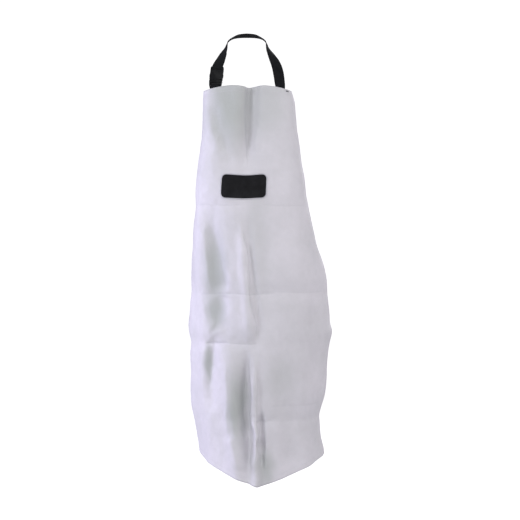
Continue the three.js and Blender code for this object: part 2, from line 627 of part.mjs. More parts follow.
// The plug of the neck buckle: a shouldered base with the bar, and two prongs and a guide in the socket.
const PLUG_TAPER = 3; // how much narrower the base is at its foot
const SHOULDER = 4.5;
const PRONG_WIDTH = 5;
const PAD_PROUD = 0.8; // how far the prongs' pads stand out of the windows
const GUIDE_WIDTH = 5;
function bucklePlug() {
  const base = plate(
    outline(BUCKLE_WIDTH, BUCKLE_WIDTH - PLUG_TAPER, -PLUG_BASE_LENGTH, -GAP, MOUTH_CORNER, SHOULDER),
    BUCKLE_THICK,
  );
  const prongHalf = CAVITY_HALF - GAP;
  const outer = BUCKLE_WIDTH / 2 - BUCKLE_WALL - GAP;
  const padOuter = BUCKLE_WIDTH / 2 + PAD_PROUD;
  const root = -GAP - BEYOND / 2;
  const prong = new THREE.Shape();
  prong.moveTo(outer - PRONG_WIDTH, root);
  prong.lineTo(outer, root);
  prong.lineTo(outer, WINDOW.low + GAP);
  prong.lineTo(padOuter, WINDOW.low + GAP + PAD_PROUD);
  prong.quadraticCurveTo(padOuter + PAD_PROUD, (WINDOW.low + WINDOW.high) / 2, padOuter, WINDOW.high - GAP);
  prong.lineTo(outer, WINDOW.high - GAP);
  prong.lineTo(outer - PRONG_WIDTH / 2, PRONG_LENGTH);
  prong.lineTo(outer - PRONG_WIDTH, PRONG_LENGTH);
  prong.closePath();
  const thick = 2 * prongHalf;
  const arm = new THREE.ExtrudeGeometry(prong, {
    depth: thick,
    bevelEnabled: false,
    curveSegments: CURVE_SEGMENTS,
  });
  const rightArm = solidOf(arm.translate(0, 0, -prongHalf));
  const leftArm = rightArm.mirror([1, 0, 0]);
  const guide = block(
    [-GUIDE_WIDTH / 2, root, -prongHalf],
    [GUIDE_WIDTH / 2, PRONG_LENGTH - GUIDE_WIDTH, prongHalf],
  );
  return geometryOf(cutBar(base.add(rightArm).add(leftArm).add(guide), plugBar, -1, BUCKLE_THICK));
}

// The waist clasp: one plain plate with a bar at each end.
function waistClasp() {
  const half = CLASP_LENGTH / 2;
  const body = plate(outline(BUCKLE_WIDTH, BUCKLE_WIDTH, -half, half, CORNER, CORNER), CLASP_THICK);
  return geometryOf(cutBar(cutBar(body, claspBar, 1, CLASP_THICK), -claspBar, -1, CLASP_THICK));
}

const coatedCloth = new THREE.MeshStandardMaterial({ color: 0xd6d4e2, roughness: 0.62, metalness: 0 });
const blackWebbing = new THREE.MeshStandardMaterial({ color: 0x111317, roughness: 0.85, metalness: 0 });
const blackPlastic = new THREE.MeshStandardMaterial({ color: 0x111416, roughness: 0.42, metalness: 0 });
const darkPatch = new THREE.MeshStandardMaterial({ color: 0x16171b, roughness: 0.6, metalness: 0 });

const apron = new THREE.Group();

// Adds a piece to the apron, in a frame of its own where it has one.
function addPiece(name, geometry, material, frame) {
  const mesh = new THREE.Mesh(geometry, material.clone());
  mesh.name = name;
  if (frame) mesh.applyMatrix4(frame);
  apron.add(mesh);
}

const neckBuckle = buckleFrame();
const clasp = claspFrame();
addPiece("apron_panel", apronPanel(), coatedCloth);
addPiece("chest_patch", chestPatch(), darkPatch);
addPiece("neck_strap", neckStrap(neckBuckle), blackWebbing);
addPiece("neck_tab", neckTab(neckBuckle), blackWebbing);
addPiece("buckle_socket", buckleSocket(), blackPlastic, neckBuckle);
addPiece("buckle_plug", bucklePlug(), blackPlastic, neckBuckle);
addPiece("waist_strap_left", waistStrap(-1, clasp), blackWebbing);
addPiece("waist_strap_right", waistStrap(1, clasp), blackWebbing);
addPiece("waist_clasp", waistClasp(), blackPlastic, clasp);

export default apron;
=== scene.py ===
from itertools import permutations
from math import ceil, cos, pi, radians, sin

import bmesh
import bpy
import numpy as np
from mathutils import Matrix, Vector, noise


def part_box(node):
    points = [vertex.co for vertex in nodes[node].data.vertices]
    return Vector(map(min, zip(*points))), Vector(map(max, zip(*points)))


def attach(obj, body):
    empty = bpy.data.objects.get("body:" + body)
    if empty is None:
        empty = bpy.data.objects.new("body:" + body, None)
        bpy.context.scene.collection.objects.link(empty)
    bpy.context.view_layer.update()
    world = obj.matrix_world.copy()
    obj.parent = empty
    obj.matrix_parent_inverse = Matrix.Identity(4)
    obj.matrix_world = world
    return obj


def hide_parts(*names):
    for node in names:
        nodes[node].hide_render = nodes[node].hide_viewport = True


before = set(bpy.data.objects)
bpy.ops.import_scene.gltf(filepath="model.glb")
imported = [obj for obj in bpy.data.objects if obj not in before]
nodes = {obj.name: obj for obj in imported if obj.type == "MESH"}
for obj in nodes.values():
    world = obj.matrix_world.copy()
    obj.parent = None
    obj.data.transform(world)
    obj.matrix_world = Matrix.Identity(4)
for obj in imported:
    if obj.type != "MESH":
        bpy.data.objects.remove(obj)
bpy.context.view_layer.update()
scene = bpy.context.scene

# The view: a long lens, level with the middle of the apron and a little to its right, four metres in front
# of it.
VIEW_LENS = 101.44
VIEW_SENSOR = 36.0
VIEW_PLACE = (0.0368, -4.15, -0.6344)

camera_data = bpy.data.cameras.new("view")
camera_data.lens = VIEW_LENS
camera_data.sensor_width = VIEW_SENSOR
camera = bpy.data.objects.new("view", camera_data)
camera.location = VIEW_PLACE
camera.rotation_euler = (radians(90), 0, 0)
scene.collection.objects.link(camera)
scene.camera = camera


# The studio: a pale round room whose floor curves up into its wall, lit by large soft lights, the brightest
# of them on the apron's left.
FLOOR_LEVEL = -1.5
FLOOR_RADIUS = 6.0
ROOM_CURVE = 2.5
ROOM_HEIGHT = 7.0
ROOM_SIDES = 96
CURVE_STEPS = 16
# The glow that the room lights the apron with, and the glow that the camera sees, so that the wall is white.
ROOM_GLOW = 0.22
ROOM_SEEN = 0.86


def shader(name, base=(0.8, 0.8, 0.8), roughness=0.5, **values):
    """A material with one Principled shader: (material, its node tree, the shader)."""
    material = bpy.data.materials.new(name)
    material.use_nodes = True
    tree = material.node_tree
    surface = tree.nodes["Principled BSDF"]
    surface.inputs["Base Color"].default_value = (*base, 1)
    surface.inputs["Roughness"].default_value = roughness
    for socket, value in values.items():
        surface.inputs[socket.replace("_", " ")].default_value = value
    return material, tree, surface


def mesh_piece(name, points, faces, material):
    """An object at the origin from points and faces."""
    data = bpy.data.meshes.new(name)
    data.from_pydata([tuple(p) for p in points], [], faces)
    data.materials.append(material)
    data.polygons.foreach_set("use_smooth", [True] * len(data.polygons))
    piece = bpy.data.objects.new(name, data)
    scene.collection.objects.link(piece)
    return piece


room_profile = [(0.0, FLOOR_LEVEL), (FLOOR_RADIUS, FLOOR_LEVEL)]
for step in range(1, CURVE_STEPS + 1):
    turn = pi / 2 * step / CURVE_STEPS
    out = FLOOR_RADIUS + ROOM_CURVE * sin(turn)
    room_profile.append((out, FLOOR_LEVEL + ROOM_CURVE * (1 - cos(turn))))
room_profile.append((FLOOR_RADIUS + ROOM_CURVE, FLOOR_LEVEL + ROOM_HEIGHT))
room_points = []
for k in range(ROOM_SIDES):
    turn = 2 * pi * k / ROOM_SIDES
    room_points += [(out * cos(turn), out * sin(turn), up) for out, up in room_profile]
room_faces = []
around = len(room_profile)
for k in range(ROOM_SIDES):
    here, there = k * around, (k + 1) % ROOM_SIDES * around
    for i in range(around - 1):
        room_faces.append((here + i, here + i + 1, there + i + 1, there + i))
room_paint, tree, surface = shader("room_paint", (0.45, 0.45, 0.455), 0.9, Emission_Color=(1, 1, 1, 1))
seen_directly = tree.nodes.new("ShaderNodeLightPath")
glow = tree.nodes.new("ShaderNodeMapRange")
glow.inputs["To Min"].default_value = ROOM_GLOW
glow.inputs["To Max"].default_value = ROOM_SEEN
tree.links.new(seen_directly.outputs["Is Camera Ray"], glow.inputs["Value"])
tree.links.new(glow.outputs["Result"], surface.inputs["Emission Strength"])
room = mesh_piece("room", room_points, room_faces, room_paint)

world = bpy.data.worlds.new("studio")
world.use_nodes = True
WORLD_COLOUR = (0.97, 0.97, 1.0, 1)
WORLD_STRENGTH = 0.35
sky = world.node_tree.nodes["Background"]
sky.inputs["Color"].default_value = WORLD_COLOUR
sky.inputs["Strength"].default_value = WORLD_STRENGTH
scene.world = world
scene.view_settings.view_transform = "Standard"

LIGHTS = [
    # name, place, size, watts, colour
    ("left_front", (-2.7, -2.2, 0.3), 1.1, 42, (0.92, 0.93, 1.0)),
    ("left_side", (-2.9, 0.2, -0.4), 1.1, 46, (0.74, 0.69, 1.0)),
    ("above", (0.3, -1.9, 2.3), 1.2, 26, (1.0, 1.0, 0.99)),
    ("front", (1.2, -3.9, 0.5), 2.4, 16, (1.0, 1.0, 1.0)),
    ("right", (3.0, -1.6, 0.2), 1.6, 27, (1.0, 0.95, 0.99)),
    ("behind", (1.6, 2.8, 0.6), 2.4, 30, (0.96, 0.96, 1.0)),
]
LIGHTS_LOOK_AT = Vector((0.0, -0.1, -0.65))
for name, place, size, watts, colour in LIGHTS:
    light_data = bpy.data.lights.new(name, "AREA")
    light_data.size = size
    light_data.energy = watts
    light_data.color = colour
    light = bpy.data.objects.new(name, light_data)
    light.location = place
    light.rotation_euler = (LIGHTS_LOOK_AT - Vector(place)).to_track_quat("-Z", "Y").to_euler()
    scene.collection.objects.link(light)


# The cloth panel: bib and skirt in one sheet of heavy cloth, coated on both sides, hemmed all round. It hangs
# from the neck strap, its sides wrap back round the body, and it keeps the creases of its folding.
CLOTH = 0.0015
RIM_LIMIT = 1.3 * CLOTH
JOIN_WITHIN = 1e-6
CLOTH_FLAT = (0.6, 1.089)
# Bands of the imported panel's grid, and of the fine grid laid on it: from, to, count.
CLOTH_COLUMNS = [(-1, -0.55, 9), (-0.55, -0.2, 9), (-0.2, 0.12, 15), (0.12, 0.55, 8), (0.55, 1, 9)]
CLOTH_ROWS = [(0, 0.298, 11), (0.298, 0.52, 7), (0.52, 0.644, 5), (0.644, 0.836, 8), (0.836, 1, 8)]
FINE_COLUMNS = [(-1, -0.55, 34), (-0.55, -0.2, 34), (-0.2, 0.12, 50), (0.12, 0.55, 30), (0.55, 1, 26)]
FINE_ROWS = [
    (0, 0.286, 58), (0.286, 0.31, 12), (0.31, 0.508, 42), (0.508, 0.532, 14), (0.532, 0.632, 24),
    (0.632, 0.656, 14), (0.656, 0.824, 42), (0.824, 0.848, 10), (0.848, 1, 34),
]


def grid_lines(bands):
    """The places of grid lines from bands of (from, to, count)."""
    lines = [bands[0][0]]
    for start, end, count in bands:
        lines += [start + (end - start) * (i + 1) / count for i in range(count)]
    return np.array(lines, float)


def joined(node):
    """A CAD node's loose triangles, joined."""
    shape = bmesh.new()
    shape.from_mesh(node.data)
    bmesh.ops.remove_doubles(shape, verts=shape.verts, dist=JOIN_WITHIN)
    return shape


def rings_from(first, allowed):
    """Layers of vertices, each next to the one before it, starting with the first."""
    rings, seen = [list(first)], set(first)
    while True:
        near = {e.other_vert(v) for v in rings[-1] for e in v.link_edges} & allowed - seen
        if not near:
            return rings
        rings.append(list(near))
        seen |= near


def outer_face(node):
    """The grid of points on the outer face of the panel's solid: rows from the top, columns from the left."""
    shape = joined(node)
    rim = [f for f in shape.faces if min(e.calc_length() for e in f.edges) < RIM_LIMIT]
    bmesh.ops.delete(shape, geom=rim, context="FACES")
    start = min(shape.verts, key=lambda v: v.co.y)
    face = {v for ring in rings_from([start], set(shape.verts)) for v in ring}
    corners = [v for v in face if len(v.link_edges) <= 3]
    top_left, _ = sorted(sorted(corners, key=lambda v: -v.co.z)[:2], key=lambda v: v.co.x)
    sides = []
    for edge in [e for e in top_left.link_edges if e.is_boundary]:
        side, at = [top_left], edge.other_vert(top_left)
        while at not in corners:
            side.append(at)
            at = next(
                e.other_vert(at) for e in at.link_edges if e.is_boundary and e.other_vert(at) not in side
            )
        sides.append(side + [at])
    top, left = sorted(sides, key=lambda s: -s[-1].co.z)
    row = {v: i for i, ring in enumerate(rings_from(top, face)) for v in ring}
    column = {v: j for j, ring in enumerate(rings_from(left, face)) for v in ring}
    points = np.zeros((len(left), len(top), 3))
    for v in face:
        points[row[v], column[v]] = v.co
    shape.free()
    return points


def smooth_between(knots, values, at):
    """Values on a smooth curve through the knots, along the first axis."""
    slope = np.gradient(values, knots, axis=0)
    i = np.clip(np.searchsorted(knots, at, side="right") - 1, 0, len(knots) - 2)
    step = knots[i + 1] - knots[i]
    shaped = (len(at),) + (1,) * (values.ndim - 1)
    t = ((at - knots[i]) / step).reshape(shaped)
    step = step.reshape(shaped)
    turned = 3 * t**2 - 2 * t**3
    leaving = (t**3 - 2 * t**2 + t) * slope[i]
    arriving = (t**3 - t**2) * slope[i + 1]
    return values[i] * (1 - turned) + values[i + 1] * turned + step * (leaving + arriving)


def ramp(x, low, high):
    """0 up to low, 1 from high, and smooth between them."""
    t = np.clip((x - low) / (high - low), 0, 1)
    return t * t * (3 - 2 * t)


def face_normals(points):
    """The ways that a grid of points faces, out of the cloth."""
    down = np.gradient(points, axis=0)
    over = np.gradient(points, axis=1)
    outward = np.cross(down, over)
    return outward / np.linalg.norm(outward, axis=2, keepdims=True)


coarse = outer_face(nodes["apron_panel"])
across, along = grid_lines(FINE_COLUMNS), grid_lines(FINE_ROWS)
cloth_points = smooth_between(grid_lines(CLOTH_ROWS), coarse, along)
cloth_points = smooth_between(grid_lines(CLOTH_COLUMNS), cloth_points.swapaxes(0, 1), across).swapaxes(0, 1)
cloth_normals = face_normals(cloth_points)
seen_x, seen_z = cloth_points[..., 0], cloth_points[..., 2]


def run_along(points, axis):
    """How far each point is along its row or column of the cloth."""
    steps = np.linalg.norm(np.diff(points, axis=axis), axis=2)
    return np.concatenate([np.zeros_like(np.take(steps, [0], axis)), np.cumsum(steps, axis)], axis)


flat_x = run_along(cloth_points, 1)
middle = np.array([np.interp(0, across, row) for row in flat_x])
flat_x -= middle[:, None]
flat_down = run_along(cloth_points, 0)
from_side = np.minimum(flat_x - flat_x[:, :1], flat_x[:, -1:] - flat_x)
from_hem = flat_down[-1:] - flat_down
from_top = flat_down
from_edge = np.minimum(np.minimum(from_side, from_hem), from_top)


# Folds that are seen from the front, each along points (x, z) in metres. height is how far it stands out, left
# and right how wide its slopes are, and sharp is 1 at a creased fold and 2 at a soft one. ends are the shares
# of its length over which it fades in and out.
FOLDS = [
    # points, height, left, right, sharp, ends
    # bib crest
    ([(-0.008, -0.158), (-0.008, -0.283), (-0.002, -0.402)],
     0.00576, 0.024, 0.005, 1.5, (0.0, 0.25)),
    # bib groove
    ([(0.025, -0.158), (0.022, -0.256), (0.012, -0.396)],
     -0.0042, 0.011, 0.02, 1.8, (0.0, 0.6)),
    # bib slant
    ([(-0.109, -0.202), (-0.096, -0.272), (-0.074, -0.331), (-0.044, -0.391)],
     0.00324, 0.026, 0.01, 1.5, (0.3, 0.3)),
    # bib hollow
    ([(-0.061, -0.153), (-0.058, -0.202), (-0.055, -0.250)],
     -0.00288, 0.026, 0.022, 2, (0.0, 0.6)),
    # right slack
    ([(0.102, -0.229), (0.113, -0.337), (0.123, -0.445)],
     -0.0018, 0.024, 0.024, 2, (0.3, 0.4)),
    # hip crest
    ([(-0.109, -0.513), (-0.112, -0.580), (-0.107, -0.651), (-0.093, -0.726)],
     0.00432, 0.012, 0.009, 1.6, (0.3, 0.2)),
    # hip valley
    ([(-0.093, -0.537), (-0.082, -0.602), (-0.069, -0.661), (-0.055, -0.724)],
     -0.00648, 0.016, 0.016, 1.6, (0.35, 0.15)),
    # hip lower
    ([(-0.063, -0.726), (-0.074, -0.775), (-0.093, -0.832)],
     -0.00288, 0.013, 0.016, 1.7, (0.1, 0.4)),
    # middle crest
    ([(-0.017, -0.505), (-0.009, -0.580), (-0.001, -0.629), (0.002, -0.678),
      (0.007, -0.721), (0.012, -0.764), (0.021, -0.808), (0.026, -0.864)],
     0.00396, 0.026, 0.0032, 1.2, (0.3, 0.15)),
    # middle crease
    ([(-0.009, -0.518), (-0.002, -0.580), (0.006, -0.624), (0.008, -0.678),
      (0.014, -0.721), (0.019, -0.764), (0.027, -0.808), (0.033, -0.864)],
     -0.0018, 0.0026, 0.012, 1.3, (0.2, 0.1)),
    # fan one
    ([(-0.109, -0.854), (-0.088, -0.837), (-0.047, -0.816)],
     0.00216, 0.007, 0.005, 1.4, (0.2, 0.4)),
    # fan two
    ([(-0.109, -0.837), (-0.093, -0.813), (-0.066, -0.780)],
     0.0018, 0.008, 0.006, 1.4, (0.2, 0.5)),
    # flank crest
    ([(-0.120, -0.867), (-0.123, -0.937), (-0.126, -1.002)],
     0.00216, 0.009, 0.009, 1.8, (0.2, 0.4)),
    # flank valley
    ([(-0.090, -0.867), (-0.093, -0.932), (-0.107, -1.008)],
     -0.00504, 0.013, 0.009, 1.6, (0.15, 0.35)),
    # knee column
    ([(-0.055, -0.883), (-0.052, -0.973), (-0.050, -1.067), (-0.047, -1.121)],
     0.0045, 0.022, 0.007, 1.1, (0.3, 0.15)),
    # knee valley
    ([(-0.009, -0.921), (-0.006, -0.986), (-0.004, -1.054), (0.002, -1.121)],
     -0.00648, 0.022, 0.006, 1.5, (0.4, 0.15)),
    # knee ridge
    ([(0.015, -0.878), (0.017, -0.973), (0.017, -1.054), (0.022, -1.094), (0.035, -1.132)],
     0.0056, 0.0055, 0.005, 1.3, (0.25, 0.1)),
    # ridge shadow
    ([(0.029, -0.878), (0.029, -0.973), (0.029, -1.054), (0.034, -1.094)],
     -0.0018, 0.004, 0.014, 1.4, (0.25, 0.1)),
    # pocket
    ([(0.031, -1.110), (0.040, -1.138), (0.042, -1.162)],
     -0.0045, 0.008, 0.008, 1.8, (0.3, 0.4)),
    # slant fold
    ([(-0.047, -1.110), (-0.036, -1.148), (-0.023, -1.184), (-0.015, -1.208)],
     0.00432, 0.018, 0.006, 1.4, (0.2, 0.25)),
    # hem light
    ([(0.018, -1.154), (0.021, -1.186), (0.025, -1.224), (0.026, -1.257)],
     0.0055, 0.017, 0.004, 1.3, (0.3, 0.0)),
    # hem dark
    ([(0.042, -1.181), (0.040, -1.213), (0.037, -1.257)],
     -0.0036, 0.008, 0.014, 1.6, (0.3, 0.0)),
    # right hollow
    ([(0.094, -0.851), (0.096, -0.959), (0.102, -1.094), (0.113, -1.202)],
     -0.0036, 0.022, 0.026, 2, (0.3, 0.1)),
    # right swell
    ([(0.148, -0.864), (0.150, -0.959), (0.153, -1.081)],
     0.00288, 0.022, 0.02, 2, (0.3, 0.3)),
    # right slope
    ([(0.069, -0.513), (0.058, -0.607), (0.042, -0.694)],
     -0.00216, 0.016, 0.024, 1.7, (0.4, 0.3)),
    # belly light
    ([(0.077, -0.734), (0.096, -0.775), (0.118, -0.813)],
     0.0018, 0.02, 0.03, 2, (0.1, 0.5)),
]
# Creases across the cloth from its folding: their slopes reach so far up and down.
CREASES = [
    # level, from x, to x, height, reach up, reach down
    (-0.4845, -0.126, -0.017, -0.001, 0.005, 0.005),
    (-0.4856, 0.042, 0.156, -0.001, 0.005, 0.005),
    (-0.7269, -0.123, 0.050, -0.0016, 0.003, 0.003),
    (-0.7264, 0.042, 0.077, -0.0016, 0.004, 0.004),
    (-0.7220, 0.042, 0.210, -0.003, 0.022, 0.045),
    (-0.8603, -0.109, -0.052, -0.004, 0.003, 0.004),
    (-0.8616, -0.055, 0.026, -0.0016, 0.0025, 0.003),
    (-1.0699, 0.026, 0.072, -0.0016, 0.005, 0.012),
    (-1.0293, 0.069, 0.194, -0.0008, 0.005, 0.005),
]


def soft_noise(scale, stretch, seed):
    """Smooth noise from -1 to 1 over the cloth laid flat. stretch below 1 draws it out down the cloth."""
    return np.array([
        [noise.noise(Vector((u * scale, v * scale * stretch, seed))) for u, v in zip(us, vs)]
        for us, vs in zip(flat_x, flat_down)
    ])


# Folds and creases wander a little from their lines.
WANDER = 0.007
wander = WANDER * (soft_noise(14, 0.7, 5.3) + 0.5 * soft_noise(34, 0.7, 8.9))


def along_fold(points):
    """Signed distance to the right of a line of points seen from the front, and the share along it."""
    line = np.array(points)
    bent_x = seen_x + wander
    lengths = np.linalg.norm(np.diff(line, axis=0), axis=1)
    best = np.full(seen_x.shape, np.inf)
    side = np.zeros_like(best)
    share = np.zeros_like(best)
    before = 0
    for (ax, az), (bx, bz), length in zip(line[:-1], line[1:], lengths):
        t = ((bent_x - ax) * (bx - ax) + (seen_z - az) * (bz - az)) / length**2
        held = np.clip(t, 0, 1)
        away = np.hypot(bent_x - ax - held * (bx - ax), seen_z - az - held * (bz - az))
        turn = (bent_x - ax) * (az - bz) + (seen_z - az) * (bx - ax)
        nearer = away < best
        best = np.where(nearer, away, best)
        side = np.where(nearer, np.sign(turn), side)
        share = np.where(nearer, (before + held * length) / lengths.sum(), share)
        before += length
    return best * side, share


# Folds fade where the cloth turns away from the front.
TURNED_AWAY = 0.05
TURNED_FRONT = 0.35
front = ramp(-cloth_normals[..., 1], TURNED_AWAY, TURNED_FRONT)
raised = np.zeros_like(seen_x)
for points, height, left, right, sharp, ends in FOLDS:
    away, share = along_fold(points)
    width = np.where(away < 0, left, right)
    fades_in = ramp(share, 0, ends[0]) if ends[0] else 1
    fades_out = 1 - ramp(share, 1 - ends[1], 1) if ends[1] else 1
    strength = fades_in * fades_out
    raised += height * strength * front * np.exp(-np.abs(away / width) ** sharp)

painted_crease_shade = np.zeros_like(seen_x)
CREASE_END = 0.006
CREASE_SHADE_WIDTH = 0.0016
CREASE_WAVE = 0.0012
CREASE_TURNS = 45
CREASE_SHIFT = 90
for level, from_x, to_x, height, up, down in CREASES:
    # A crease isn't quite straight.
    away = seen_z - level - CREASE_WAVE * np.sin(seen_x * CREASE_TURNS + level * CREASE_SHIFT)
    within = ramp(seen_x, from_x - CREASE_END, from_x + CREASE_END)
    within *= 1 - ramp(seen_x, to_x - CREASE_END, to_x + CREASE_END)
    raised += height * within * front * np.exp(-np.abs(away) / np.where(away > 0, up, down))
    # Painted shade: a thin darker line along each crease's valley, where shade falls.
    painted_crease_shade = np.maximum(painted_crease_shade, within * front * np.exp(-((away / CREASE_SHADE_WIDTH) ** 2)))

# Soft waves all over the cloth, and crumples: small sharp ridges, most of them on the side that the folds
# are on, the left one in the view.
WAVES = [
    # waves a metre, height, stretch, seed
    (8, 0.0034, 0.6, 1.9),
    (20, 0.0014, 0.7, 3.1),
    (44, 0.0005, 0.9, 7.7),
]
CRUMPLES = [
    # ridges a metre, height, stretch, seed
    (9, 0.0042, 0.6, 11.3),
    (19, 0.0021, 0.75, 15.7),
    (37, 0.0008, 0.9, 21.1),
]
SMOOTH_SIDE = 0.45
SMOOTH_FROM = 0.0
SMOOTH_TO = 0.06
CRUMPLE_LEVEL = 0.4
CRUMPLE_SHARP = 0.85
for scale, height, stretch, seed in WAVES:
    raised += height * soft_noise(scale, stretch, seed)
crumpled = SMOOTH_SIDE + (1 - SMOOTH_SIDE) * (1 - ramp(seen_x, SMOOTH_FROM, SMOOTH_TO))
for scale, height, stretch, seed in CRUMPLES:
    raised += crumpled * height * (CRUMPLE_LEVEL - np.abs(soft_noise(scale, stretch, seed)) ** CRUMPLE_SHARP)

# Painted shade: darker grey-green spots laid in the hollows of the folds, where shade falls.
FOLD_SHADE_SPOTS = [
    # x, z, reach across, reach up and down, strength
    (-0.045, -0.22, 0.07, 0.11, 1.0),
    (0.03, -0.2, 0.09, 0.09, 0.55),
    (-0.083, -0.66, 0.035, 0.1, 0.85),
    (-0.083, -0.775, 0.024, 0.055, 0.9),
    (-0.098, -0.915, 0.014, 0.05, 0.9),
    (-0.024, -1.03, 0.026, 0.09, 1.0),
    (0.045, -1.2, 0.026, 0.05, 0.8),
    (0.088, -0.95, 0.035, 0.06, 0.35),
    (0.03, -0.6, 0.03, 0.16, 0.3),
]
FOLD_SHADE_WANDER = 2
FOLD_SHADE_SHARP = 1.5
painted_fold_shade = np.zeros_like(seen_x)
for x, z, reach_x, reach_z, strength in FOLD_SHADE_SPOTS:
    across_spot = (seen_x + FOLD_SHADE_WANDER * wander - x) / reach_x
    from_middle = across_spot**2 + ((seen_z - z) / reach_z) ** 2
    spot = strength * np.exp(-(from_middle**FOLD_SHADE_SHARP))
    painted_fold_shade = np.maximum(painted_fold_shade, spot * front)

# The straps are sewn behind the top corners and the sides, and the cloth stays flat on them.
HELD_FLAT = 0.05
FLAT_WITHIN = 0.002
STRAP_CORNER = 0.06
seats = np.ones_like(raised)
for name in ("neck_strap", "neck_tab", "waist_strap_left", "waist_strap_right"):
    low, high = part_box(name)
    gap_z = np.maximum(np.maximum(low.z - seen_z, seen_z - high.z), 0)
    if "neck" in name:
        gap_x = np.maximum(np.maximum(low.x - seen_x, seen_x - high.x), 0)
        gap_z = np.maximum(low.z - seen_z, 0)
        if name == "neck_strap":
            gap_x = np.maximum(STRAP_CORNER - seen_x, 0)
    else:
        near_side = flat_x < 0 if "left" in name else flat_x > 0
        gap_x = np.where(near_side, np.maximum(from_side - HELD_FLAT, 0), 1)
    seats *= ramp(np.hypot(gap_x, gap_z), FLAT_WITHIN, HELD_FLAT)
raised *= seats

# The hem: the edge turned in and sewn down all round, a little proud with the seam drawn in.
HEM_WIDTH = 0.018
HEM_PROUD = 0.0005
HEM_ROUND_OUT = 0.001
HEM_ROUND_IN = 0.002
SEAM_WIDTH = 0.0016
SEAM_DEEP = 0.0005
SEAM_OUT = 0.0025
turned_in = 1 - ramp(from_edge, HEM_WIDTH - HEM_ROUND_OUT, HEM_WIDTH + HEM_ROUND_IN)
raised += HEM_PROUD * turned_in * seats
raised -= SEAM_DEEP * np.exp(-(((from_edge - HEM_WIDTH + SEAM_OUT) / SEAM_WIDTH) ** 2)) * seats
cloth_points = cloth_points + cloth_normals * raised[..., None]
cloth_normals = face_normals(cloth_points)


def grid_faces(rows, columns):
    """The faces of a grid of points, turned so that they look out of the cloth."""
    faces = []
    for i in range(rows - 1):
        for j in range(columns - 1):
            a = i * columns + j
            faces.append((a, a + columns, a + columns + 1, a + 1))
    return faces


def lay_uv(piece, u, v):
    """A UV map in metres from two numbers for each vertex."""
    layer = piece.data.uv_layers.new(name="laid_flat")
    corner = np.zeros(len(piece.data.loops), int)
    piece.data.loops.foreach_get("vertex_index", corner)
    pairs = np.stack([np.ravel(u)[corner], np.ravel(v)[corner]], axis=1)
    layer.data.foreach_set("uv", pairs.astype(np.float32).ravel())


def lay_values(piece, name, values):
    """A named value for each vertex."""
    attribute = piece.data.attributes.new(name, "FLOAT", "POINT")
    attribute.data.foreach_set("value", np.ravel(values).astype(np.float32))


def effect(name, inputs, outputs):
    """An empty shader node group: (group, its input node, its output node)."""
    group = bpy.data.node_groups.new(name, "ShaderNodeTree")
    for label, kind, value in inputs:
        socket = group.interface.new_socket(label, in_out="INPUT", socket_type=kind)
        if value is not None:
            socket.default_value = value
    for label, kind in outputs:
        group.interface.new_socket(label, in_out="OUTPUT", socket_type=kind)
    return group, group.nodes.new("NodeGroupInput"), group.nodes.new("NodeGroupOutput")


def sums(group, operation, first, second=None):
    """A Math node's result. An operand is a socket or a number."""
    node = group.nodes.new("ShaderNodeMath")
    node.operation = operation
    for slot, operand in enumerate((first, second)):
        if isinstance(operand, (int, float)):
            node.inputs[slot].default_value = operand
        elif operand is not None:
            group.links.new(operand, node.inputs[slot])
    return node.outputs[0]


# Plain weave: threads go over and under each other. Its height is 1 on top of a thread.
weave, given, result = effect(
    "plain_weave",
    [
        ("Vector", "NodeSocketVector", None),
        ("Warp", "NodeSocketFloat", 0.001),
        ("Weft", "NodeSocketFloat", 0.001),
    ],
    [("Height", "NodeSocketFloat")],
)
split = weave.nodes.new("ShaderNodeSeparateXYZ")
weave.links.new(given.outputs["Vector"], split.inputs[0])
threads = [
    sums(weave, "DIVIDE", split.outputs["X"], given.outputs["Warp"]),
    sums(weave, "DIVIDE", split.outputs["Y"], given.outputs["Weft"]),
]
rounds = [sums(weave, "ABSOLUTE", sums(weave, "SINE", sums(weave, "MULTIPLY", t, pi))) for t in threads]
counts = [sums(weave, "FLOOR", t) for t in threads]
over = sums(weave, "PINGPONG", sums(weave, "ADD", *counts), 1.0)
under = sums(weave, "SUBTRACT", 1.0, over)
weave.links.new(
    sums(weave, "ADD", sums(weave, "MULTIPLY", rounds[0], over), sums(weave, "MULTIPLY", rounds[1], under)),
    result.inputs["Height"],
)

# Mottling: soft uneven patches, as handling and dust leave them.
mottling, given, result = effect(
    "mottling",
    [
        ("Vector", "NodeSocketVector", None),
        ("Patches", "NodeSocketFloat", 8.0),
        ("Detail", "NodeSocketFloat", 4.0),
    ],
    [("Amount", "NodeSocketFloat")],
)
cloud = mottling.nodes.new("ShaderNodeTexNoise")
mottling.links.new(given.outputs["Vector"], cloud.inputs["Vector"])
mottling.links.new(given.outputs["Patches"], cloud.inputs["Scale"])
mottling.links.new(given.outputs["Detail"], cloud.inputs["Detail"])
CLOUD_LOW = 0.3
CLOUD_HIGH = 0.7
spread = mottling.nodes.new("ShaderNodeMapRange")
spread.inputs["From Min"].default_value = CLOUD_LOW
spread.inputs["From Max"].default_value = CLOUD_HIGH
mottling.links.new(cloud.outputs[0], spread.inputs["Value"])
mottling.links.new(spread.outputs["Result"], result.inputs["Amount"])


def place_effect(tree, group, vector, **values):
    """A group's node in a material, reading a vector, with its own values."""
    node = tree.nodes.new("ShaderNodeGroup")
    node.node_tree = group
    tree.links.new(vector, node.inputs["Vector"])
    for label, value in values.items():
        node.inputs[label].default_value = value
    return node.outputs[0]


# The Mix node's sockets for colours.
COLOUR_A = 6
COLOUR_B = 7
COLOUR_OUT = 2


